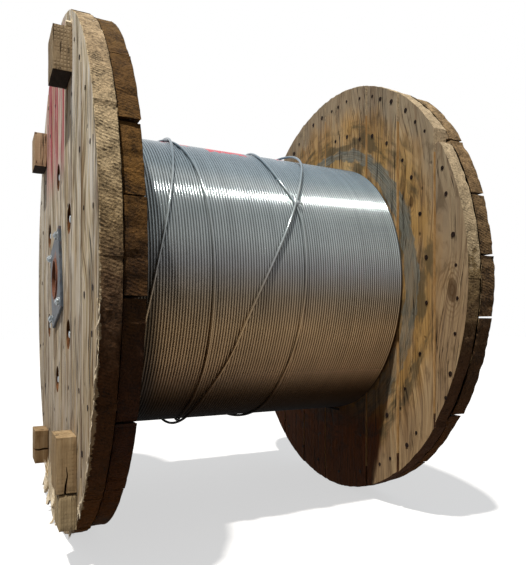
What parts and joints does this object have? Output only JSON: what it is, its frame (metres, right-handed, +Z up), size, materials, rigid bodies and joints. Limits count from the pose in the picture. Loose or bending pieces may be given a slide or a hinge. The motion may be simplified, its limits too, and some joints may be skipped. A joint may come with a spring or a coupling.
{
  "type": "wooden cable drum",
  "caption": "Weathered wooden cable drum on its rims: crossed-board flanges, staved barrel, steel hubs, through bolts, wound with galvanised wire strand lashed by its own tail.",
  "frame": {"origin": "on the floor under the drum, at the middle of its outline along X and Y", "axes": "+X along the drum's axis from the flange with cleats to the plain one, +Z up, +Y away from the side the picture shows"},
  "size_m": [0.921, 1.2192, 1.2101],
  "materials": {
    "near_flange_wood": "rough sawn boards, weathered grey-tan, dark soiled rim",
    "far_flange_wood": "rough sawn boards, grey at the rim and orange-brown further in",
    "cleat_wood": "sawn offcuts, weathered",
    "stave_wood": "sawn, unfinished",
    "wound_strand": "hot-dip galvanised strand",
    "tail_strand": "hot-dip galvanised strand",
    "hub_steel": "dark blue-grey rolled steel, rust at the bore",
    "zinc_hardware": "zinc plated, dulled"
  },
  "bodies": {
    "root": {"barrel_staves": "stave_wood", "far_inner_board_1": "far_flange_wood", "far_inner_board_2": "far_flange_wood", "far_inner_board_3": "far_flange_wood", "far_inner_board_4": "far_flange_wood", "far_inner_board_5": "far_flange_wood", "far_inner_board_6": "far_flange_wood", "far_inner_board_7": "far_flange_wood", "far_inner_board_8": "far_flange_wood", "far_outer_board_1": "far_flange_wood", "far_outer_board_2": "far_flange_wood", "far_outer_board_3": "far_flange_wood", "far_outer_board_4": "far_flange_wood", "far_outer_board_5": "far_flange_wood", "far_outer_board_6": "far_flange_wood", "far_outer_board_7": "far_flange_wood", "far_outer_board_8": "far_flange_wood", "hub_bushings": "hub_steel", "hub_plates": "hub_steel", "near_cleat_1": "cleat_wood", "near_cleat_2": "cleat_wood", "near_cleat_3": "cleat_wood", "near_cleat_4": "cleat_wood", "near_cleat_5": "cleat_wood", "near_inner_board_1": "near_flange_wood", "near_inner_board_2": "near_flange_wood", "near_inner_board_3": "near_flange_wood", "near_inner_board_4": "near_flange_wood", "near_inner_board_5": "near_flange_wood", "near_inner_board_6": "near_flange_wood", "near_inner_board_7": "near_flange_wood", "near_inner_board_8": "near_flange_wood", "near_outer_board_1": "near_flange_wood", "near_outer_board_2": "near_flange_wood", "near_outer_board_3": "near_flange_wood", "near_outer_board_4": "near_flange_wood", "near_outer_board_5": "near_flange_wood", "near_outer_board_6": "near_flange_wood", "near_outer_board_7": "near_flange_wood", "near_outer_board_8": "near_flange_wood", "near_outer_board_9": "near_flange_wood", "tail_strand": "tail_strand", "tie_bolt_1": "zinc_hardware", "tie_bolt_2": "zinc_hardware", "tie_bolt_3": "zinc_hardware", "tie_bolt_4": "zinc_hardware", "tie_bolt_5": "zinc_hardware", "tie_bolt_6": "zinc_hardware", "wire_winding": "wound_strand"}
  },
  "joints": []
}
